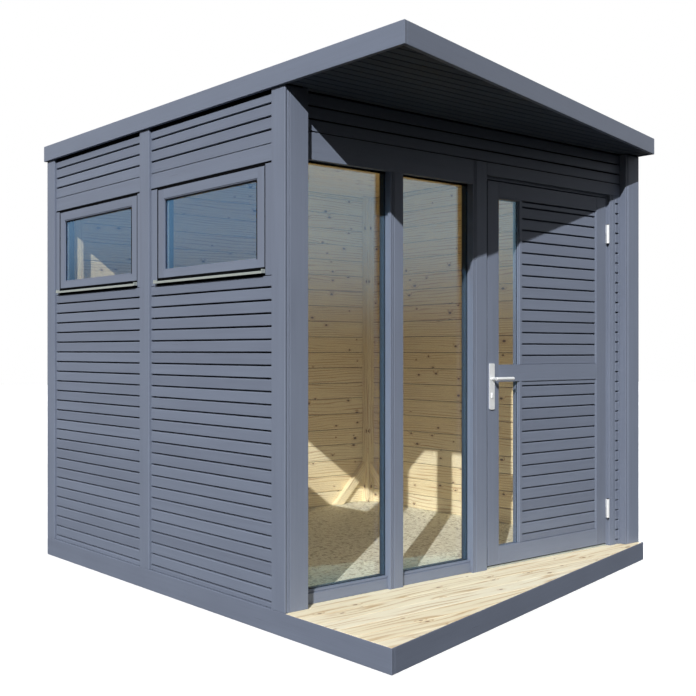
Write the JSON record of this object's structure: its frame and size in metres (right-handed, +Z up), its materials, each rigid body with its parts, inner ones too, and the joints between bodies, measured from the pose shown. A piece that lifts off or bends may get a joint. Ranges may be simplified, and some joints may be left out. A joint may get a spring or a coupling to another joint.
{
  "type": "garden office pod",
  "caption": "Grey-blue timber garden office pod with a flat roof, a raked porch deck and canopy, glazed screens and a hinged half-louvred door with a lever handle.",
  "frame": {"origin": "on the ground under the middle of the bounding box of the whole building", "axes": "+X to the right when facing the porch and door, +Y from the porch to the back wall, +Z up"},
  "size_m": [2.564, 3.1, 2.4],
  "materials": {
    "painted_timber": "satin grey-blue paint on planed timber",
    "painted_cladding": "satin grey-blue paint on planed timber boards",
    "pine_lining": "planed pine boards",
    "deck_timber": "planed pine deck boards",
    "floor_board": "matt floor board",
    "wall_core": "sawn softwood",
    "clear_glass": "clear sealed glass units",
    "sill_metal": "mill finish",
    "brushed_metal": "brushed",
    "roof_membrane": "matt sheet"
  },
  "bodies": {
    "pod": {"base_joists": "wall_core", "plinth_sides": "painted_timber", "plinth_front": "painted_timber", "plinth_back": "painted_timber", "floor_panel": "floor_board", "porch_deck": "deck_timber", "posts_front": "painted_timber", "posts_rear": "painted_timber", "posts_middle": "painted_timber", "inner_corner_posts": "pine_lining", "left_cladding": "painted_cladding", "left_core": "wall_core", "left_lining": "pine_lining", "window_frames": "painted_timber", "window_casements": "painted_timber", "window_panes": "clear_glass", "window_sills": "sill_metal", "right_cladding": "painted_cladding", "right_core": "wall_core", "right_lining": "pine_lining", "back_cladding": "painted_cladding", "back_core": "wall_core", "back_lining": "pine_lining", "header_beam": "painted_timber", "header_cladding": "painted_cladding", "glazing_frame_left": "painted_timber", "glazing_frame_right": "painted_timber", "glazing_panes": "clear_glass", "screen_covers": "painted_timber", "strip_cladding": "painted_cladding", "door_jamb_left": "painted_timber", "door_jamb_right": "painted_timber", "door_sill": "sill_metal", "hinge_jamb_halves": "brushed_metal", "fascia_sides": "painted_timber", "fascia_front": "painted_timber", "fascia_back": "painted_timber", "ceiling_panel": "pine_lining", "soffit": "painted_cladding", "roof_deck": "wall_core", "roof_membrane": "roof_membrane"},
    "door": {"door_leaf": "painted_timber", "door_louvres": "painted_cladding", "door_glass": "clear_glass", "hinge_leaf_halves": "brushed_metal", "handle_plates": "brushed_metal"},
    "lever": {"lever_handle": "brushed_metal"}
  },
  "joints": [
    {"name": "door_hinge", "type": "hinge", "parent": "pod", "child": "door", "pos_m": [1.03, -0.7605, 1.0835], "axis": [0, 0, 1], "range_deg": [0, 105]},
    {"name": "lever_turn", "type": "hinge", "parent": "door", "child": "lever", "pos_m": [0.07, -0.75, 1.057], "axis": [0, 1, 0], "range_deg": [0, 40], "stiffness_Nm_per_rad": 1}
  ]
}
